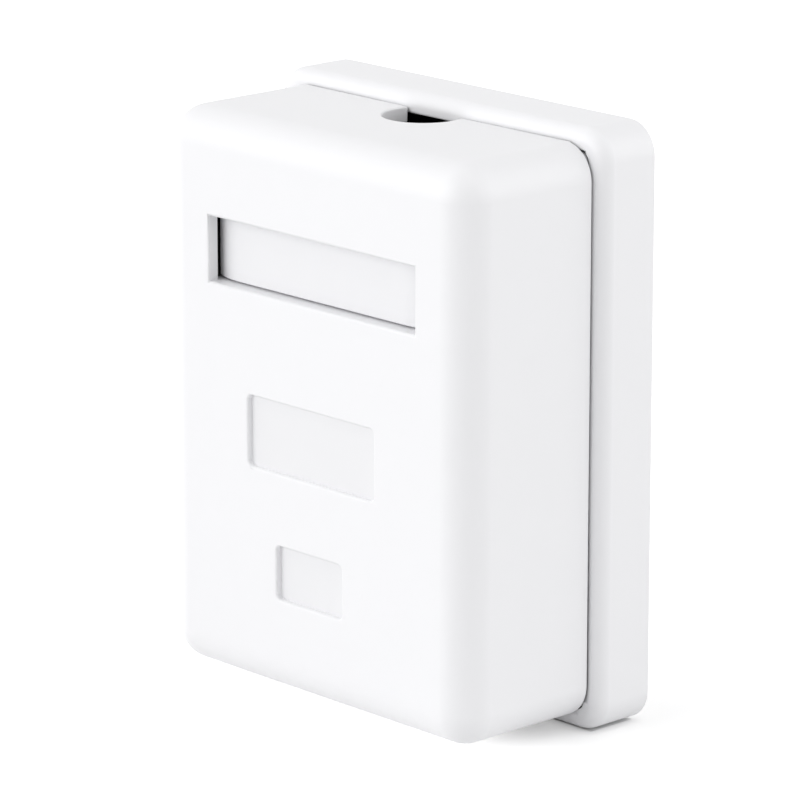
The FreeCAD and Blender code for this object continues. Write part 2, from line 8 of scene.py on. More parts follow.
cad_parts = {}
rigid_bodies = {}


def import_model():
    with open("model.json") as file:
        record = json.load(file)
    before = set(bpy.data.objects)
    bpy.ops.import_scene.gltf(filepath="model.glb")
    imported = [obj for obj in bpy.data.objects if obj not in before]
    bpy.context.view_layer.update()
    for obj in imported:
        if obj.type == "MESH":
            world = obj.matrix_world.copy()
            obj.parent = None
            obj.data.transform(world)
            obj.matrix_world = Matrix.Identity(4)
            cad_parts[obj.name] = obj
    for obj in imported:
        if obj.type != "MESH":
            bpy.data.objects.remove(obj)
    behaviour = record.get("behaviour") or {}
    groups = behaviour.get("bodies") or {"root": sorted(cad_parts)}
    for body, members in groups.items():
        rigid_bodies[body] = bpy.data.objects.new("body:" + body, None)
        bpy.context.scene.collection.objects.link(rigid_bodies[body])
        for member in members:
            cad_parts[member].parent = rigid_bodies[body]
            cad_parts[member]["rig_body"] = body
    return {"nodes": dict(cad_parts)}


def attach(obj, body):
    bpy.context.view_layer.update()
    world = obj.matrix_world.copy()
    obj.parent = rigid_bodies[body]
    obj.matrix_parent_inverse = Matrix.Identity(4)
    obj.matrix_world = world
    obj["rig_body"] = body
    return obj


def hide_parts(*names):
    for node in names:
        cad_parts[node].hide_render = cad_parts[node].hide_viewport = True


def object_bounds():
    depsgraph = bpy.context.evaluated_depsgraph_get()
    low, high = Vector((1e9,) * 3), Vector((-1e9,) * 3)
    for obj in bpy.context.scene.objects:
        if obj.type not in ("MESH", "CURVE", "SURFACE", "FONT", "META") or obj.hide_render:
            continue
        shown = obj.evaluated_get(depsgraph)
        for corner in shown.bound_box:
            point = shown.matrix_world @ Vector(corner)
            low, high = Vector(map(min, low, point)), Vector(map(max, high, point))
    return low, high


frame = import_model()
nodes = frame["nodes"]
cad_low, cad_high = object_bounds()
MM = 0.001


# ---------------------------------------------------------------------------
# Wall base
# A shallow tray of white ABS, injection moulded with a fine satin finish and screwed to the wall
# through four slots. Its inside faces are painted near black: painted shade for the dark inside of the closed
# box.
# ---------------------------------------------------------------------------
SHELL_WHITE = (0.86, 0.86, 0.876, 1)
# painted shade: the near-black colour put on the inside faces of base and cover
INSIDE_PAINTED_SHADE = (0.028, 0.028, 0.030, 1)
CRISP = math.radians(35)            # edges sharper than this get a round
BASE_RIM_Y = -9.5 * MM
BASE_INSIDE = Vector((29.55, -2.45, 39.05)) * MM
BASE_FLOOR_Y = -2.5 * MM
BASE_PINS = ((26.2, 8.0), (26.2, -8.0), (12.0, 37.2))
RIM_ROUND = 0.3 * MM
FINE_ROUND = 0.1 * MM


def material(name):
    """A new node material with an empty tree."""
    made = bpy.data.materials.new(name)
    made.use_nodes = True
    made.node_tree.nodes.clear()
    return made


def add(tree, kind, values=None, **settings):
    """Add a node, set its properties, then its input values."""
    node = tree.nodes.new("ShaderNode" + kind)
    for key, value in settings.items():
        setattr(node, key, value)
    for key, value in (values or {}).items():
        node.inputs[key].default_value = value
    return node


def new_group(name, inputs, outputs):
    """A shader node group with named sockets; returns it with its two end nodes."""
    group = bpy.data.node_groups.new(name, "ShaderNodeTree")
    for key, kind, value in inputs:
        socket = group.interface.new_socket(name=key, in_out="INPUT", socket_type="NodeSocket" + kind)
        socket.default_value = value
    for key, kind in outputs:
        group.interface.new_socket(name=key, in_out="OUTPUT", socket_type="NodeSocket" + kind)
    return group, group.nodes.new("NodeGroupInput"), group.nodes.new("NodeGroupOutput")


def use_group(tree, group, values):
    """Place a node group in a material with its own values."""
    node = tree.nodes.new("ShaderNodeGroup")
    node.node_tree = group
    for key, value in values.items():
        node.inputs[key].default_value = value
    return node


def product(tree, a, b, plus=None):
    """a times b, plus a third value where one is given."""
    node = add(tree, "Math", operation="MULTIPLY" if plus is None else "MULTIPLY_ADD")
    for index, value in enumerate((a, b) if plus is None else (a, b, plus)):
        if isinstance(value, (int, float)):
            node.inputs[index].default_value = value
        else:
            tree.links.new(value, node.inputs[index])
    return node.outputs[0]


def make_moulded_surface():
    """Node group: satin grain, slow waviness, gloss variation and a coarser grain where a mask says so."""
    g, given, out = new_group(
        "Moulded Surface",
        (("Tint", "Color", (0.8, 0.8, 0.8, 1)), ("Roughness", "Float", 0.4),
         ("Grain per Metre", "Float", 4500.0), ("Grain Depth", "Float", 0.5),
         ("Wave Depth", "Float", 0.3), ("Coarse", "Float", 0.0)),
        (("Color", "Color"), ("Roughness", "Float"), ("Height", "Float")))
    link = g.links.new
    place = add(g, "TexCoord")
    grain = add(g, "TexNoise", {"Detail": 3.0, "Roughness": 0.6})
    sparks = add(g, "TexNoise", {"Scale": 1900.0, "Detail": 2.0})
    wave = add(g, "TexNoise", {"Scale": 55.0, "Detail": 1.0})
    cloud = add(g, "TexNoise", {"Scale": 130.0, "Detail": 4.0})
    for texture in (grain, sparks, wave, cloud):
        link(place.outputs["Object"], texture.inputs["Vector"])
    link(given.outputs["Grain per Metre"], grain.inputs["Scale"])

    fine = product(g, grain.outputs["Fac"], given.outputs["Grain Depth"])
    both = product(g, wave.outputs["Fac"], given.outputs["Wave Depth"], fine)
    link(product(g, sparks.outputs["Fac"], given.outputs["Coarse"], both), out.inputs["Height"])

    gloss = add(g, "MapRange", {"From Min": 0.3, "From Max": 0.7, "To Min": -0.02, "To Max": 0.02})
    link(cloud.outputs["Fac"], gloss.inputs["Value"])
    duller = product(g, given.outputs["Coarse"], 0.12, given.outputs["Roughness"])
    rough = add(g, "Math", operation="ADD", use_clamp=True)
    link(gloss.outputs[0], rough.inputs[0])
    link(duller, rough.inputs[1])
    link(rough.outputs[0], out.inputs["Roughness"])

    tone = add(g, "MapRange", {"From Min": 0.3, "From Max": 0.7, "To Min": 0.996, "To Max": 1.002})
    link(cloud.outputs["Fac"], tone.inputs["Value"])
    # the coarse fields are also made 5 per cent darker in colour
    darker = product(g, given.outputs["Coarse"], -0.05, tone.outputs[0])
    tinted = add(g, "VectorMath", operation="SCALE")
    link(given.outputs["Tint"], tinted.inputs["Vector"])
    link(darker, tinted.inputs["Scale"])
    link(tinted.outputs["Vector"], out.inputs["Color"])
    return g


moulded_surface = make_moulded_surface()


def finish_from(tree, surface, relief_depth, shader_values, painted_shade=None):
    """Join a surface group to a Principled shader, with optional painted shade over part of it: a near-black,
    duller colour where the mask is set.
    """
    link = tree.links.new
    relief = add(tree, "Bump", {"Strength": 0.35, "Distance": relief_depth})
    shader = add(tree, "BsdfPrincipled", shader_values)
    output = add(tree, "OutputMaterial")
    color, rough = surface.outputs["Color"], surface.outputs["Roughness"]
    # painted shade: near-black colour and duller gloss on the masked inside faces
    if painted_shade:
        mask = add(tree, "Attribute", attribute_name="painted_shade_inside")
        painted_shade_mix = add(tree, "MixRGB", {"Color2": painted_shade})
        dull = add(tree, "MapRange", {"To Max": 0.72})
        for source, target in ((mask.outputs["Fac"], painted_shade_mix.inputs["Fac"]), (color, painted_shade_mix.inputs["Color1"]),
                               (mask.outputs["Fac"], dull.inputs["Value"]), (rough, dull.inputs["To Min"])):
            link(source, target)
        color, rough = painted_shade_mix.outputs["Color"], dull.outputs[0]
    link(color, shader.inputs["Base Color"])
    link(rough, shader.inputs["Roughness"])
    link(surface.outputs["Height"], relief.inputs["Height"])
    link(relief.outputs["Normal"], shader.inputs["Normal"])
    link(shader.outputs["BSDF"], output.inputs["Surface"])


def moulded_plastic(name, values, relief_depth=0.02 * MM, painted_shade=None, coarse=None):
    """A plastic with the moulded surface; coarse names the attribute that marks its coarser fields."""
    made = material(name)
    tree = made.node_tree
    surface = use_group(tree, moulded_surface, values)
    if coarse:
        mask = add(tree, "Attribute", attribute_name=coarse)
        tree.links.new(mask.outputs["Fac"], surface.inputs["Coarse"])
    finish_from(tree, surface, relief_depth, {"IOR": 1.5}, painted_shade)
    return made


def merged_solid(node_name):
    """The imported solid's mesh as a bmesh, with its triangles merged into flat faces."""
    work = bmesh.new()
    work.from_mesh(nodes[node_name].data)
    bmesh.ops.remove_doubles(work, verts=work.verts, dist=0.0002 * MM)
    bmesh.ops.dissolve_limit(work, angle_limit=math.radians(0.2), verts=work.verts, edges=work.edges,
                             use_dissolve_boundaries=False)
    return work


def is_crisp(edge):
    """Whether an edge is an outer corner of the solid."""
    return len(edge.link_faces) == 2 and edge.is_convex and edge.calc_face_angle(0.0) > CRISP


def lies_at(edge, axis, value, slack=0.002 * MM):
    """Whether both ends of an edge lie at that place along an axis."""
    return all(abs(corner.co[axis] - value) < slack for corner in edge.verts)


def ease(work, width, segments=2, chosen=None):
    """Round the crisp outer edges of a solid, or those of them that are chosen."""
    edges = [edge for edge in work.edges if is_crisp(edge) and (chosen is None or chosen(edge))]
    bmesh.ops.bevel(work, geom=edges, offset=width, offset_type="OFFSET", segments=segments, profile=0.5,
                    affect="EDGES", clamp_overlap=False, loop_slide=True, material=-1)


def mark_faces(work, name, chosen):
    """A face attribute that is 1 on the chosen faces, for the material to read."""
    layer = work.faces.layers.float.new(name)
    for face in work.faces:
        face[layer] = 1.0 if chosen(face.calc_center_median(), face.normal) else 0.0


def piece_from(work, name, finish, body, stands_for=None):
    """Turn a bmesh into a finished piece that rides on a body."""
    mesh = bpy.data.meshes.new(name)
    work.to_mesh(mesh)
    work.free()
    mesh.shade_smooth()
    mesh.set_sharp_from_angle(angle=math.radians(50))
    mesh.materials.append(finish)
    piece = bpy.data.objects.new(name, mesh)
    bpy.context.collection.objects.link(piece)
    weighted = piece.modifiers.new("even_shading", "WEIGHTED_NORMAL")
    weighted.keep_sharp = True
    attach(piece, body)
    if stands_for:
        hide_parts(stands_for)
    return piece


def inside_base(centre, normal):
    """Whether a face is on the inside, below the rim, where painted shade goes."""
    reach = BASE_INSIDE
    return abs(centre.x) < reach.x and abs(centre.z) < reach.z and BASE_RIM_Y < centre.y < reach.y


def beside_entry(edge):
    """Whether an edge of the rim lies beside the cable entry, where the cable rubs on it."""
    middle = (edge.verts[0].co + edge.verts[1].co) / 2
    return abs(middle.x) < 29 * MM and middle.z > 38 * MM


def pin_mark(work, x, y, z, facing, radius):
    """The round mark of an ejector pin: a thin disc sunk in the surface, with a slightly proud rim."""
    turn = Matrix.Rotation(math.radians(90 if facing < 0 else -90), 4, "X")
    disc = bmesh.ops.create_cone(work, cap_ends=True, segments=36, radius1=radius, radius2=radius,
                                 depth=0.16 * MM, matrix=Matrix.Translation((x, y, z)) @ turn)
    front = max((face for face in {f for v in disc["verts"] for f in v.link_faces}),
                key=lambda face: facing * face.calc_center_median().y)
    bmesh.ops.inset_region(work, faces=[front], thickness=0.18 * MM, depth=-0.05 * MM)


# the shells' inside faces get painted shade, near black, where their mask is set
shell_white = moulded_plastic(
    "shell_white", {"Tint": SHELL_WHITE, "Roughness": 0.42}, painted_shade=INSIDE_PAINTED_SHADE, coarse="coarse_field")

base = merged_solid("base")
ease(base, RIM_ROUND, 3, lambda edge: lies_at(edge, 1, BASE_RIM_Y) and beside_entry(edge))
ease(base, FINE_ROUND, chosen=lambda edge: not lies_at(edge, 1, BASE_RIM_Y))
for x, z in BASE_PINS:
    for side in (-1, 1):
        pin_mark(base, side * x * MM, BASE_FLOOR_Y, z * MM, -1, 1.5 * MM)
# painted shade: mark the base's inside faces for the near-black colour
mark_faces(base, "painted_shade_inside", inside_base)
piece_from(base, "base_moulding", shell_white, "base", "base")


# ---------------------------------------------------------------------------
# Shield tray
# Tinned steel sheet, cut and folded: a floor under the board, two upright sides, and a tongue that
# climbs to the platform of the cable clamp. The board's posts and the base's hook hold it.
# ---------------------------------------------------------------------------
TIN = (0.50, 0.50, 0.485, 1)


def make_plated_metal():
    """Node group: rolling streaks, cloudy plating and fine pits of a plated metal."""
    g, given, out = new_group(
        "Plated Metal",
        (("Tint", "Color", (0.7, 0.7, 0.7, 1)), ("Roughness", "Float", 0.3),
         ("Streak Scale", "Vector", (2600.0, 2600.0, 60.0)), ("Streak Depth", "Float", 0.10),
         ("Cloud per Metre", "Float", 420.0), ("Cloud Contrast", "Float", 0.05)),
        (("Color", "Color"), ("Roughness", "Float"), ("Height", "Float")))
    link = g.links.new
    place = add(g, "TexCoord")
    drawn = add(g, "Mapping")
    link(place.outputs["Object"], drawn.inputs["Vector"])
    link(given.outputs["Streak Scale"], drawn.inputs["Scale"])
    streak = add(g, "TexNoise", {"Scale": 1.0, "Detail": 3.0, "Roughness": 0.65})
    cloud = add(g, "TexNoise", {"Detail": 4.0, "Roughness": 0.55})
    pits = add(g, "TexVoronoi", {"Scale": 2300.0})
    link(drawn.outputs["Vector"], streak.inputs["Vector"])
    for texture in (cloud, pits):
        link(place.outputs["Object"], texture.inputs["Vector"])
    link(given.outputs["Cloud per Metre"], cloud.inputs["Scale"])

    lines = product(g, streak.outputs["Fac"], given.outputs["Streak Depth"])
    link(product(g, pits.outputs["Distance"], 0.012, lines), out.inputs["Height"])
    patch = add(g, "MapRange", {"From Min": 0.32, "From Max": 0.68, "To Min": -1.0, "To Max": 1.0})
    link(cloud.outputs["Fac"], patch.inputs["Value"])
    link(product(g, patch.outputs[0], 0.03, given.outputs["Roughness"]), out.inputs["Roughness"])
    shade = product(g, patch.outputs[0], given.outputs["Cloud Contrast"], 1.0)
    lined = product(g, streak.outputs["Fac"], 0.10, shade)
    tinted = add(g, "VectorMath", operation="SCALE")
    link(given.outputs["Tint"], tinted.inputs["Vector"])
    link(lined, tinted.inputs["Scale"])
    link(tinted.outputs["Vector"], out.inputs["Color"])
    return g


plated_metal = make_plated_metal()


def metal(name, values, relief_depth=0.012 * MM):
    """A plated metal with its streaks and clouds."""
    made = material(name)
    tree = made.node_tree
    finish_from(tree, use_group(tree, plated_metal, values), relief_depth, {"Metallic": 1.0})
    return made


def eased_node(node_name, piece_name, finish, width, segments=2):
    """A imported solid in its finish, with its outer edges rounded."""
    work = merged_solid(node_name)
    ease(work, width, segments)
    return piece_from(work, piece_name, finish, nodes[node_name]["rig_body"], node_name)


tinned_sheet = metal("tinned_sheet", {"Tint": TIN, "Roughness": 0.36})
eased_node("shield_tray", "folded_tray", tinned_sheet, 0.06 * MM)


# ---------------------------------------------------------------------------
# Circuit board
# 1.6 mm glass laminate under green solder mask, with its copper standing up through the mask as
# traces from the jacks' pins to the terminals. Two screws and the base's hook hold it.
# ---------------------------------------------------------------------------
MASK_GREEN = (0.012, 0.115, 0.040, 1)
TRACE_GREEN = (0.030, 0.200, 0.070, 1)
LAMINATE = (0.42, 0.37, 0.20, 1)
BOARD_Y = -9.8 * MM
BOARD_SCREW_X = 16.0 * MM
BOARD_SCREW_Z = 9.4 * MM
JACK_X = 10.0 * MM
JACK_BACK_Z = -21.0 * MM
CONTACT_PITCH = 1.02 * MM
BLOCK_X = 9.4 * MM
LOWER_BLOCK_FOOT = -15.5 * MM
UPPER_BLOCK_FOOT = -3.7 * MM
VIA_Z = -16.1 * MM
HALF_WAY = 1.9 * MM                 # half the distance between two wires in a block
TRACE_WIDTH = 0.34 * MM
TRACE_HEIGHT = 0.05 * MM


def board_finish(name, mask_color, edge_color=None):
    """Solder mask over the faint weave of the glass cloth; bare laminate on the cut edges."""
    made = material(name)
    tree = made.node_tree
    link = tree.links.new
    place = add(tree, "TexCoord")
    weave = []
    for direction in ("X", "Z"):
        wave = add(tree, "TexWave", {"Scale": 620.0, "Distortion": 0.6, "Detail": 1.0},
                   bands_direction=direction)
        link(place.outputs["Object"], wave.inputs["Vector"])
        weave.append(wave.outputs["Fac"])
    cloth = product(tree, weave[0], weave[1])
    cloud = add(tree, "TexNoise", {"Scale": 260.0, "Detail": 4.0})
    link(place.outputs["Object"], cloud.inputs["Vector"])
    spread = add(tree, "MapRange", {"From Min": 0.3, "From Max": 0.7, "To Min": 0.86, "To Max": 1.12})
    link(product(tree, cloth, 0.12, cloud.outputs["Fac"]), spread.inputs["Value"])
    tinted = add(tree, "VectorMath", operation="SCALE")
    tinted.inputs["Vector"].default_value = mask_color[:3]
    link(spread.outputs[0], tinted.inputs["Scale"])
    color = tinted.outputs["Vector"]
    gloss = add(tree, "MapRange", {"From Min": 0.3, "From Max": 0.7, "To Min": 0.28, "To Max": 0.40})
    link(cloud.outputs["Fac"], gloss.inputs["Value"])
    rough = gloss.outputs[0]
    if edge_color:
        cut = add(tree, "Attribute", attribute_name="cut_edge")
        bare = add(tree, "MixRGB", {"Color2": edge_color})
        dull = add(tree, "MapRange", {"To Max": 0.75})
        for source, target in ((cut.outputs["Fac"], bare.inputs["Fac"]), (color, bare.inputs["Color1"]),
                               (cut.outputs["Fac"], dull.inputs["Value"]), (rough, dull.inputs["To Min"])):
            link(source, target)
        color, rough = bare.outputs["Color"], dull.outputs[0]
    relief = add(tree, "Bump", {"Strength": 0.25, "Distance": 0.02 * MM})
    shader = add(tree, "BsdfPrincipled", {"IOR": 1.5})
    output = add(tree, "OutputMaterial")
    link(cloth, relief.inputs["Height"])
    link(color, shader.inputs["Base Color"])
    link(rough, shader.inputs["Roughness"])
    link(relief.outputs["Normal"], shader.inputs["Normal"])
    link(shader.outputs["BSDF"], output.inputs["Surface"])
    return made


def lay_trace(work, route):
    """One copper trace under the mask: a flat strip pulled along its route, then thickened."""
    y = BOARD_Y - TRACE_HEIGHT
    start = [work.verts.new((route[0][0] + side * TRACE_WIDTH / 2, y, route[0][1])) for side in (-1, 1)]
    front = [work.edges.new(start)]
    strip = []
    for before, after in zip(route, route[1:]):
        pulled = bmesh.ops.extrude_edge_only(work, edges=front)["geom"]
        moved = [item for item in pulled if isinstance(item, bmesh.types.BMVert)]
        bmesh.ops.translate(work, verts=moved, vec=(after[0] - before[0], 0, after[1] - before[1]))
        front = [item for item in pulled if isinstance(item, bmesh.types.BMEdge)
                 and all(corner in moved for corner in item.verts)]
        strip += [item for item in pulled if isinstance(item, bmesh.types.BMFace)]
    pushed = bmesh.ops.extrude_face_region(work, geom=strip)["geom"]
    bmesh.ops.translate(work, verts=[item for item in pushed if isinstance(item, bmesh.types.BMVert)],
                        vec=(0, 1.4 * TRACE_HEIGHT, 0))


def ring_pad(work, x, z, inner, outer, height):
    """A ring-shaped copper pad that stands a little above the board."""
    turn = Matrix.Translation((x, BOARD_Y - height / 2 + 0.01 * MM, z)) @ Matrix.Rotation(math.pi / 2, 4, "X")
    disc = bmesh.ops.create_cone(work, cap_ends=True, segments=28, radius1=outer, radius2=outer,
                                 depth=height, matrix=turn)
    caps = [face for face in {f for v in disc["verts"] for f in v.link_faces} if abs(face.normal.y) > 0.9]
    bmesh.ops.inset_individual(work, faces=caps, thickness=outer - inner)
    bmesh.ops.bridge_loops(work, edges=[edge for face in caps for edge in face.edges])
    bmesh.ops.delete(work, geom=caps, context="FACES_ONLY")


board = merged_solid("circuit_board")
ease(board, 0.06 * MM)
mark_faces(board, "cut_edge", lambda centre, normal: abs(normal.y) < 0.5)
solder_mask = board_finish("solder_mask", MASK_GREEN, LAMINATE)
piece_from(board, "board_laminate", solder_mask, "base", "circuit_board")

traces = bmesh.new()
for side in (-1, 1):
    for place in range(8):
        out_x = side * (JACK_X + (place - 3.5) * CONTACT_PITCH)
        in_x = side * (BLOCK_X + (place - 3) * HALF_WAY)
        end_z = (LOWER_BLOCK_FOOT if place % 2 == 0 else UPPER_BLOCK_FOOT) + 0.4 * MM
        lean = abs(in_x - out_x)
        bend_z = JACK_BACK_Z + (5.5 * MM - lean) / 2
        lay_trace(traces, [(out_x, JACK_BACK_Z - 0.6 * MM), (out_x, bend_z),
                           (in_x, bend_z + lean), (in_x, end_z)])
bmesh.ops.recalc_face_normals(traces, faces=traces.faces)
piece_from(traces, "board_traces", board_finish("mask_over_copper", TRACE_GREEN), "base")

tinned_copper = metal("tinned_copper", {"Tint": (0.70, 0.69, 0.64, 1), "Roughness": 0.3,
                                        "Streak Depth": 0.1})
pads = bmesh.new()
for side in (-1, 1):
    ring_pad(pads, side * BOARD_SCREW_X, BOARD_SCREW_Z, 1.45 * MM, 2.75 * MM, 0.05 * MM)
    for place in range(1, 8, 2):
        ring_pad(pads, side * (BLOCK_X + (place - 3) * HALF_WAY), VIA_Z, 0.16 * MM, 0.34 * MM, 0.13 * MM)
bmesh.ops.recalc_face_normals(pads, faces=pads.faces)
piece_from(pads, "board_pads", tinned_copper, "base")


# ---------------------------------------------------------------------------
# Jacks
# Two shielded eight-way jacks that open downwards: a black moulded insert with the plug's chamber and
# its comb, eight gold-flashed phosphor-bronze springs, and a folded nickel-plated screen round both.
# ---------------------------------------------------------------------------
black_insert = moulded_plastic(
    "black_insert", {"Tint": (0.020, 0.020, 0.022, 1), "Roughness": 0.46, "Grain per Metre": 6200.0,
                     "Grain Depth": 0.7})
nickel_plate = metal("nickel_plate", {"Tint": (0.50, 0.487, 0.455, 1), "Roughness": 0.32,
                                      "Cloud Contrast": 0.02, "Streak Scale": (3200.0, 3200.0, 90.0),
                                      "Streak Depth": 0.04})
gold_flash = metal("gold_flash", {"Tint": (0.86, 0.61, 0.25, 1), "Roughness": 0.22,
                                  "Streak Scale": (4200.0, 300.0, 300.0), "Streak Depth": 0.3})
for side in ("left", "right"):
    eased_node("jack_housing_" + side, "jack_insert_" + side, black_insert, 0.07 * MM)
    eased_node("jack_contacts_" + side, "jack_springs_" + side, gold_flash, 0.04 * MM)
    eased_node("jack_shell_" + side, "jack_screen_" + side, nickel_plate, 0.05 * MM)


# ---------------------------------------------------------------------------
# Terminal blocks
# Four-way punch-down blocks of ivory plastic, soldered to the board. In each wire slot a slit fork of
# silver-plated bronze stands turned by 45 degrees and bites through the wire's insulation.
# ---------------------------------------------------------------------------
ivory = moulded_plastic(
    "ivory_plastic", {"Tint": (0.72, 0.70, 0.63, 1), "Roughness": 0.44, "Grain per Metre": 5200.0})
silver_plate = metal("silver_plate", {"Tint": (0.80, 0.78, 0.72, 1), "Roughness": 0.24, "Streak Depth": 0.3})
for row in ("lower", "upper"):
    for side in ("left", "right"):
        place = row + "_" + side
        eased_node("terminal_contacts_" + place, "terminal_forks_" + place, silver_plate,
                   0.05 * MM)
        eased_node("terminal_block_" + place, "terminal_body_" + place, ivory, 0.12 * MM)


# ---------------------------------------------------------------------------
# Screws
# Pan-head screws with a cross recess, turned from steel wire with rolled threads and bright zinc
# plate. Two small ones hold the board and two the cable clamp; two larger ones hold the cover.
# ---------------------------------------------------------------------------
DOME = 0.34                         # these five are shares of the head's radius or height
CROSS_ARM, CROSS_BLADE = 0.55, 0.13
CROSS_DEPTH, CROSS_TAPER = 0.6, 0.8
zinc_plate = metal("zinc_plate", {"Tint": (0.56, 0.57, 0.59, 1), "Roughness": 0.30,
                                  "Streak Scale": (900.0, 900.0, 900.0), "Cloud Contrast": 0.06})


def join_into(work, extra):
    """Move one bmesh into another."""
    loose = bpy.data.meshes.new("loose")
    extra.to_mesh(loose)
    extra.free()
    work.from_mesh(loose)
    bpy.data.meshes.remove(loose)


def thread_on(work, x, z, start, end, crest, pitch, steps=28):
    """A rolled thread: its profile is spun once round while it climbs by one pitch."""
    thread = bmesh.new()
    root = crest * 0.78
    profile = []
    for turn in range(-1, math.ceil((end - start) / pitch) + 1):
        for share, radius in ((0.0, root), (0.42, root), (0.66, crest), (0.76, crest)):
            profile.append(thread.verts.new((x + radius, start + (turn + share) * pitch, z)))
    chain = [thread.edges.new(pair) for pair in zip(profile, profile[1:])]
    bmesh.ops.spin(thread, geom=profile + chain, cent=(x, 0, z), axis=(0, 1, 0),
                   dvec=(0, pitch / steps, 0), angle=2 * math.pi, steps=steps, use_merge=False)
    bmesh.ops.remove_doubles(thread, verts=thread.verts, dist=0.002 * MM)
    for y, inward in ((start, 1), (end, -1)):
        everything = thread.verts[:] + thread.edges[:] + thread.faces[:]
        bmesh.ops.bisect_plane(thread, geom=everything, dist=0.0001 * MM, plane_co=(0, y, 0),
                               plane_no=(0, inward, 0), clear_inner=True)
    for corner in thread.verts:
        taper = max(0.0, (corner.co.y - (end - 1.6 * pitch)) / (1.6 * pitch))
        corner.co.x = x + (corner.co.x - x) * (1 - 0.5 * taper)
        corner.co.z = z + (corner.co.z - z) * (1 - 0.5 * taper)
    bmesh.ops.holes_fill(thread, edges=[edge for edge in thread.edges if edge.is_boundary], sides=0)
    bmesh.ops.recalc_face_normals(thread, faces=thread.faces)
    join_into(work, thread)


def pan_head(work, x, z, seat_y, radius, height, steps=48, rounds=6):
    """A pan head: a disc with a domed edge and a tapered cross recess sunk in its top."""
    head = bmesh.new()
    top_y, dome = seat_y - height, radius * DOME
    rise = [(radius - dome + dome * math.cos(turn), top_y + dome - dome * math.sin(turn))
            for turn in (math.pi / 2 * count / rounds for count in range(rounds + 1))]
    profile = [head.verts.new((r, y, 0)) for r, y in [(radius, seat_y)] + rise]
    chain = [head.edges.new(pair) for pair in zip(profile, profile[1:])]
    bmesh.ops.spin(head, geom=profile + chain, cent=(0, 0, 0), axis=(0, 1, 0), dvec=(0, 0, 0),
                   angle=2 * math.pi, steps=steps, use_merge=False)
    bmesh.ops.remove_doubles(head, verts=head.verts, dist=0.002 * MM)
    arm, blade = radius * CROSS_ARM, radius * CROSS_BLADE
    quarter = ((blade, arm), (blade, blade), (arm, blade))
    corners = [head.verts.new((u * across - v * up, top_y, u * up + v * across))
               for across, up in ((1, 0), (0, -1), (-1, 0), (0, 1)) for u, v in quarter]
    cross = [head.edges.new(pair) for pair in zip(corners, corners[1:] + corners[:1])]
    ring = [edge for edge in head.edges if edge.is_boundary and lies_at(edge, 1, top_y)]
    bmesh.ops.triangle_fill(head, use_beauty=True, edges=ring + cross)
    walls = bmesh.ops.extrude_edge_only(head, edges=cross)["geom"]
    for corner in walls:
        if isinstance(corner, bmesh.types.BMVert):
            corner.co = (corner.co.x * CROSS_TAPER, top_y + height * CROSS_DEPTH,
                         corner.co.z * CROSS_TAPER)
    bmesh.ops.holes_fill(head, edges=[edge for edge in head.edges if edge.is_boundary], sides=0)
    bmesh.ops.recalc_face_normals(head, faces=head.faces)
    bmesh.ops.translate(head, vec=(x, 0, z), verts=head.verts)
    join_into(work, head)


def threaded_screws(node_name, piece_name, places, z, seat_y, head, shank, pitch):
    """A pair of screws in place of a packed pair, with domed heads and rolled threads."""
    work = bmesh.new()
    for x in places:
        pan_head(work, x, z, seat_y, *head)
        thread_on(work, x, z, seat_y - 0.1 * MM, seat_y + shank[1], shank[0], pitch)
    return piece_from(work, piece_name, zinc_plate, nodes[node_name]["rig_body"], node_name)


SMALL_HEAD, SMALL_SHANK = (2.2 * MM, 1.5 * MM), (1.25 * MM, 5.5 * MM)     # radius, then length
SMALL_PITCH = 0.9 * MM
threaded_screws("board_screws", "board_pan_screws", (-BOARD_SCREW_X, BOARD_SCREW_X), BOARD_SCREW_Z,
                BOARD_Y, SMALL_HEAD, SMALL_SHANK, SMALL_PITCH)


# ---------------------------------------------------------------------------
# Cable clamp
# A strap of tinned steel strip, bent over the cable, with a flat foot on each side that its two
# screws pull down on the tray's platform.
# ---------------------------------------------------------------------------
CLAMP_SCREW_X = 9.0 * MM
CLAMP_SCREW_Z = 29.8 * MM
CLAMP_FOOT_Y = -11.0 * MM
strap_sheet = metal("strap_sheet", {"Tint": TIN, "Roughness": 0.33,
                                    "Streak Scale": (60.0, 2600.0, 2600.0)})
eased_node("cable_clamp", "clamp_strap", strap_sheet, 0.14 * MM)
threaded_screws("clamp_screws", "clamp_pan_screws", (-CLAMP_SCREW_X, CLAMP_SCREW_X), CLAMP_SCREW_Z,
                CLAMP_FOOT_Y, SMALL_HEAD, SMALL_SHANK, SMALL_PITCH)


# ---------------------------------------------------------------------------
# Front cover
# The deep white ABS shell: a label window with its pan, two shallow fields with a coarser grain,
# and the round cable entry. It slips into the base, and its inside faces carry the same painted shade, near
# black.
# ---------------------------------------------------------------------------
FRONT_Y = -33.0 * MM
COVER_REAR_Y = -9.8 * MM
COVER_TOP_Z = 40.0 * MM
COVER_INSIDE = Vector((28.35, -30.85, 37.85)) * MM
PAN_HALF = (20.75 * MM, 4.7 * MM)
PAN_FLOOR_Y = -29.85 * MM
WINDOW_Z = 21.0 * MM
SCREW_X = 12.9 * MM
TUNNEL = 3.3 * MM
FIELD_Y = (-32.3 * MM, -32.0 * MM)
FRONT_WALL_BACK_Y = -30.8 * MM
COVER_PINS = ((22.0, 2.0), (22.0, -28.0), (0.0, -10.0), (8.0, 33.0))
FRONT_ROUND, ENTRY_ROUND, REAR_ROUND = 0.36 * MM, 0.32 * MM, 0.25 * MM
LARGE_HEAD, LARGE_SHANK = (2.8 * MM, 2.0 * MM), (1.5 * MM, 10.0 * MM)
LARGE_PITCH = 1.25 * MM
HEAD_SEAT_Y = -16.3 * MM


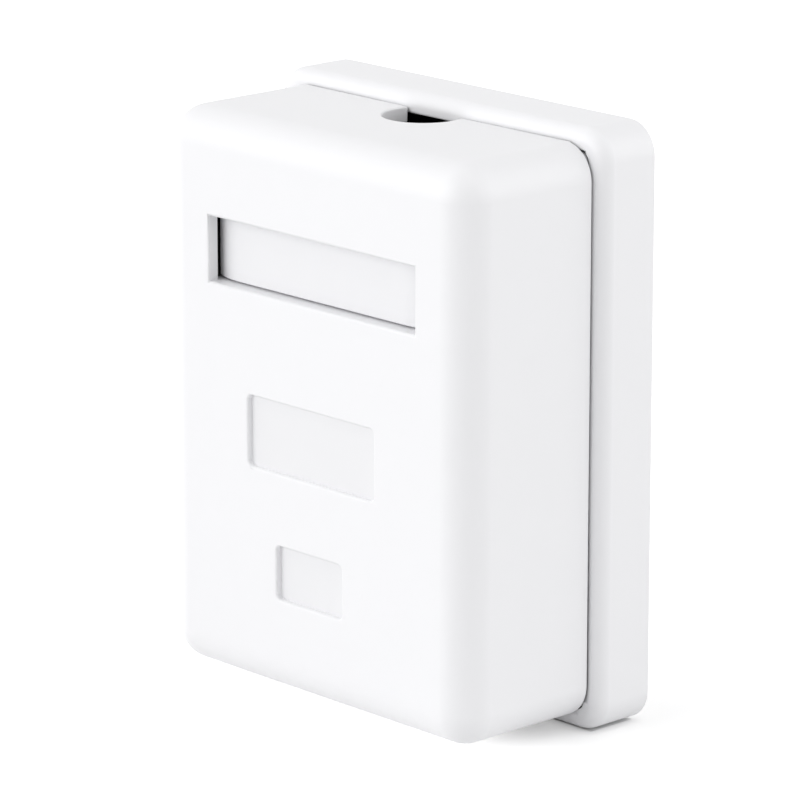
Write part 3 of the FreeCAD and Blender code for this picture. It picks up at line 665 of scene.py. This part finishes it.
def inside_cover(centre, normal):
    """Whether a face is on the inside that gets painted shade: not the label's pan, and not a screw tunnel.
    """
    reach = COVER_INSIDE
    if not (abs(centre.x) < reach.x and abs(centre.z) < reach.z and centre.y > reach.y):
        return False
    if centre.y < PAN_FLOOR_Y and abs(centre.x) < PAN_HALF[0] and abs(centre.z - WINDOW_Z) < PAN_HALF[1]:
        return False
    return min(math.hypot(centre.x - x, centre.z - WINDOW_Z) for x in (-SCREW_X, SCREW_X)) > TUNNEL


cover = merged_solid("front_cover")
ease(cover, FRONT_ROUND, 3, lambda edge: lies_at(edge, 1, FRONT_Y))
ease(cover, ENTRY_ROUND, 3, lambda edge: lies_at(edge, 2, COVER_TOP_Z))
ease(cover, REAR_ROUND, 3, lambda edge: lies_at(edge, 1, COVER_REAR_Y))
ease(cover, FINE_ROUND, chosen=lambda edge: min(v.co.y for v in edge.verts) > FRONT_Y + 1.0 * MM)
for x, z in COVER_PINS:
    for side in ((-1, 1) if x else (1,)):
        pin_mark(cover, side * x * MM, FRONT_WALL_BACK_Y, z * MM, 1, 1.8 * MM)
# painted shade: mark the cover's inside faces for the near-black colour
mark_faces(cover, "painted_shade_inside", inside_cover)
mark_faces(cover, "coarse_field",
           lambda centre, normal: normal.y < -0.9 and FIELD_Y[0] < centre.y < FIELD_Y[1])
piece_from(cover, "front_cover_moulding", shell_white, "front_cover", "front_cover")

threaded_screws("cover_screws", "cover_pan_screws", (-SCREW_X, SCREW_X), WINDOW_Z,
                HEAD_SEAT_Y, LARGE_HEAD, LARGE_SHANK, LARGE_PITCH)


# ---------------------------------------------------------------------------
# Label plate
# A thin snap-in strip of white plastic, a little smoother than the shells. Its springy ends bend
# back and tuck in behind the window's ends, and two clip legs reach through the pan.
# ---------------------------------------------------------------------------
LABEL_FACE_Y = -30.9 * MM
LABEL_SHEET = 0.9 * MM
LABEL_HALF_HEIGHT = 4.35 * MM
LABEL_BEND_START = 16.5 * MM
LABEL_BEND_RADIUS = 13.0 * MM
LABEL_TIP_X = 21.9 * MM
LEG_OUTER_X = 19.6 * MM
LEG_TIP_Y = -24.4 * MM


def label_strip():
    """The strip's profile is pulled along from its middle, spun round its bends, then given its height."""
    work = bmesh.new()
    low_z = WINDOW_Z - LABEL_HALF_HEIGHT
    ends = [work.verts.new((0, LABEL_FACE_Y + depth, low_z)) for depth in (0, LABEL_SHEET)]
    start = work.edges.new(ends)
    pulled = bmesh.ops.extrude_edge_only(work, edges=[start])["geom"]
    moved = [item for item in pulled if isinstance(item, bmesh.types.BMVert)]
    bmesh.ops.translate(work, verts=moved, vec=(LABEL_BEND_START, 0, 0))
    front = [item for item in pulled
             if isinstance(item, bmesh.types.BMEdge) and set(item.verts) == set(moved)]
    turn = math.asin((LABEL_TIP_X - LABEL_BEND_START) / LABEL_BEND_RADIUS)
    bmesh.ops.spin(work, geom=front + moved, axis=(0, 0, 1), angle=turn, steps=10,
                   cent=(LABEL_BEND_START, LABEL_FACE_Y + LABEL_BEND_RADIUS, low_z))
    bmesh.ops.mirror(work, geom=work.verts[:] + work.edges[:] + work.faces[:], axis="X",
                     merge_dist=0.001 * MM)
    raised = bmesh.ops.extrude_face_region(work, geom=work.faces[:])["geom"]
    bmesh.ops.translate(work, verts=[item for item in raised if isinstance(item, bmesh.types.BMVert)],
                        vec=(0, 0, 2 * LABEL_HALF_HEIGHT))
    bmesh.ops.remove_doubles(work, verts=work.verts, dist=0.001 * MM)
    bmesh.ops.recalc_face_normals(work, faces=work.faces)
    for side in (-1, 1):
        reach = LEG_TIP_Y - (LABEL_FACE_Y + LABEL_SHEET * 0.7)
        middle = (side * (LEG_OUTER_X - LABEL_SHEET / 2), LEG_TIP_Y - reach / 2, WINDOW_Z)
        bmesh.ops.create_cube(work, size=1, matrix=Matrix.Translation(middle) @ Matrix.Diagonal(
            (LABEL_SHEET, reach, 2 * LABEL_HALF_HEIGHT, 1)))
    ease(work, 0.28 * MM, 2, lambda edge: lies_at(edge, 1, LEG_TIP_Y)
         and abs(edge.verts[0].co.x - edge.verts[1].co.x) < 0.1 * MM)
    ease(work, FINE_ROUND, 3)
    return work


label_white = moulded_plastic(
    "label_white", {"Tint": (0.815, 0.815, 0.832, 1), "Roughness": 0.38, "Grain per Metre": 7000.0,
                    "Grain Depth": 0.25})
piece_from(label_strip(), "label_strip", label_white, "label_plate", "label_plate")


# ---------------------------------------------------------------------------
# Studio
# A pale floor, wide soft lamps and white surroundings; the camera looks down a little from the right.
# The floor is a matt disc that glows white to the eye. Its glow is turned down round the foot of the base as
# a painted shadow, darkest at the contact, and turned up in front of the cover as painted light that washes
# out the real shadow there.
# ---------------------------------------------------------------------------
def see_white(tree, amount):
    """That amount for what is seen directly, in gloss or through glass, and 0 for other rays."""
    path = add(tree, "LightPath")
    total = None
    for name in ("Is Camera Ray", "Is Glossy Ray", "Is Transmission Ray"):
        if total is None:
            total = path.outputs[name]
            continue
        both = add(tree, "Math", operation="MAXIMUM")
        tree.links.new(total, both.inputs[0])
        tree.links.new(path.outputs[name], both.inputs[1])
        total = both.outputs[0]
    return product(tree, total, amount)


FLOOR_Z = cad_low.z - 0.25 * MM
# the floor's painted shadow is drawn round this footprint
BASE_HALF = (29.3 * MM, 3.9 * MM)      # where the base meets the floor, about its middle
SHADOW_REACH = 20 * MM
disc = bmesh.new()
bmesh.ops.create_circle(disc, cap_ends=True, segments=64, radius=3.0,
                        matrix=Matrix.Translation((0, 0, FLOOR_Z)))
floor = bpy.data.objects.new("studio_floor", bpy.data.meshes.new("studio_floor"))
disc.to_mesh(floor.data)
disc.free()
bpy.context.collection.objects.link(floor)
floor_finish = material("studio_floor")
tree = floor_finish.node_tree
paint = add(tree, "BsdfDiffuse", {"Color": (0.8, 0.8, 0.8, 1)})
glow = add(tree, "Emission", {"Color": (1, 1, 1, 1)})
both = add(tree, "AddShader")
side_seen = add(tree, "NewGeometry")
clear = add(tree, "BsdfTransparent")
one_way = add(tree, "MixShader")
out = add(tree, "OutputMaterial")
place = add(tree, "TexCoord")
centred = add(tree, "Mapping")
centred.inputs["Location"].default_value = (0, BASE_HALF[1], 0)
tree.links.new(place.outputs["Object"], centred.inputs["Vector"])
folded = add(tree, "VectorMath", operation="ABSOLUTE")
tree.links.new(centred.outputs["Vector"], folded.inputs[0])
beyond = add(tree, "VectorMath", operation="SUBTRACT")
beyond.inputs[1].default_value = (BASE_HALF[0], BASE_HALF[1], 1)
tree.links.new(folded.outputs["Vector"], beyond.inputs[0])
outside = add(tree, "VectorMath", operation="MAXIMUM")
outside.inputs[1].default_value = (0, 0, 0)
tree.links.new(beyond.outputs["Vector"], outside.inputs[0])
distance = add(tree, "VectorMath", operation="LENGTH")
tree.links.new(outside.outputs["Vector"], distance.inputs[0])
# painted shadow: the floor's glow falls to near black at the base's footprint and rises with distance from it
painted_contact_shadow = add(tree, "ValToRGB")
tree.links.new(product(tree, distance.outputs["Value"], 1 / SHADOW_REACH), painted_contact_shadow.inputs["Fac"])
painted_contact_shadow.color_ramp.elements.new(0.01).color = (0.22, 0.22, 0.22, 1)
painted_contact_shadow.color_ramp.elements.new(0.10).color = (0.33, 0.33, 0.33, 1)
painted_contact_shadow.color_ramp.elements.new(0.50).color = (0.36, 0.36, 0.36, 1)
painted_contact_shadow.color_ramp.elements[0].color = (0.02, 0.02, 0.02, 1)
painted_contact_shadow.color_ramp.elements[-1].color = (0.50, 0.50, 0.50, 1)
along = add(tree, "SeparateXYZ")
tree.links.new(place.outputs["Object"], along.inputs["Vector"])
# painted light: extra glow in front of the cover washes out the real shadow there, less of it towards the
# right
painted_light_ahead = add(tree, "MapRange", {"From Min": -24 * MM, "From Max": -12 * MM, "To Min": 0.45, "To Max": 0.0},
            interpolation_type="SMOOTHSTEP")
tree.links.new(along.outputs["Y"], painted_light_ahead.inputs["Value"])
painted_light_fade_aside = add(tree, "MapRange", {"From Min": 17 * MM, "From Max": 31 * MM, "To Min": 1.0, "To Max": 0.35},
            interpolation_type="SMOOTHSTEP")
tree.links.new(along.outputs["X"], painted_light_fade_aside.inputs["Value"])
spread = add(tree, "Math", operation="ADD")
tree.links.new(painted_contact_shadow.outputs["Color"], spread.inputs[0])
tree.links.new(product(tree, painted_light_ahead.outputs[0], painted_light_fade_aside.outputs[0]), spread.inputs[1])
tree.links.new(see_white(tree, spread.outputs[0]), glow.inputs["Strength"])
tree.links.new(paint.outputs[0], both.inputs[0])
tree.links.new(glow.outputs[0], both.inputs[1])
tree.links.new(side_seen.outputs["Backfacing"], one_way.inputs[0])
tree.links.new(both.outputs[0], one_way.inputs[1])
tree.links.new(clear.outputs[0], one_way.inputs[2])
tree.links.new(one_way.outputs[0], out.inputs["Surface"])
floor.data.materials.append(floor_finish)

world = bpy.data.worlds.new("studio")
bpy.context.scene.world = world
world.use_nodes = True
tree = world.node_tree
tree.nodes.clear()
AMBIENT = 0.523
dim = add(tree, "Background", {"Color": (1, 1, 1, 1), "Strength": AMBIENT})
white = add(tree, "Background", {"Color": (1, 1, 1, 1), "Strength": 1.0})
mix = add(tree, "MixShader")
out = add(tree, "OutputWorld")
tree.links.new(see_white(tree, 1.0), mix.inputs[0])
tree.links.new(dim.outputs[0], mix.inputs[1])
tree.links.new(white.outputs[0], mix.inputs[2])
tree.links.new(mix.outputs[0], out.inputs["Surface"])


def soft_light(azimuth, elevation, strength):
    """A wide, far light that comes from the given direction, in degrees."""
    light = bpy.data.lights.new("soft_light", "SUN")
    light.energy = strength
    light.angle = math.radians(50)
    made = bpy.data.objects.new("soft_light", light)
    bpy.context.collection.objects.link(made)
    a, e = math.radians(azimuth), math.radians(elevation)
    back = Vector((math.sin(a) * math.cos(e), -math.cos(a) * math.cos(e), math.sin(e)))
    made.rotation_mode = "QUATERNION"
    made.rotation_quaternion = (-back).to_track_quat("-Z", "Y")


LIGHTS = ((-20, 15, 1.15), (150, 15, 0.644), (105, 15, 0.61), (-60, 15, 0.60), (105, 55, 0.337),
          (-20, 55, 0.171), (-60, 55, 0.135), (150, 55, 0.057), (-120, 55, 0.021))
for azimuth, elevation, strength in LIGHTS:
    soft_light(azimuth, elevation, strength)

AIM = Vector((-1.336, -15.0, -0.007)) * MM
AZIMUTH, ELEVATION, DISTANCE = math.radians(47.072), math.radians(14.96), 695.892 * MM
back = Vector((math.sin(AZIMUTH) * math.cos(ELEVATION), -math.cos(AZIMUTH) * math.cos(ELEVATION),
               math.sin(ELEVATION)))
lens = bpy.data.cameras.new("camera")
lens.sensor_width = 36.0
lens.lens = 226.9
lens.clip_start, lens.clip_end = 0.01, 20.0
camera = bpy.data.objects.new("camera", lens)
bpy.context.collection.objects.link(camera)
camera.location = AIM + back * DISTANCE
camera.rotation_mode = "QUATERNION"
camera.rotation_quaternion = (-back).to_track_quat("-Z", "Y")
bpy.context.scene.camera = camera
bpy.context.scene.view_settings.view_transform = "Standard"
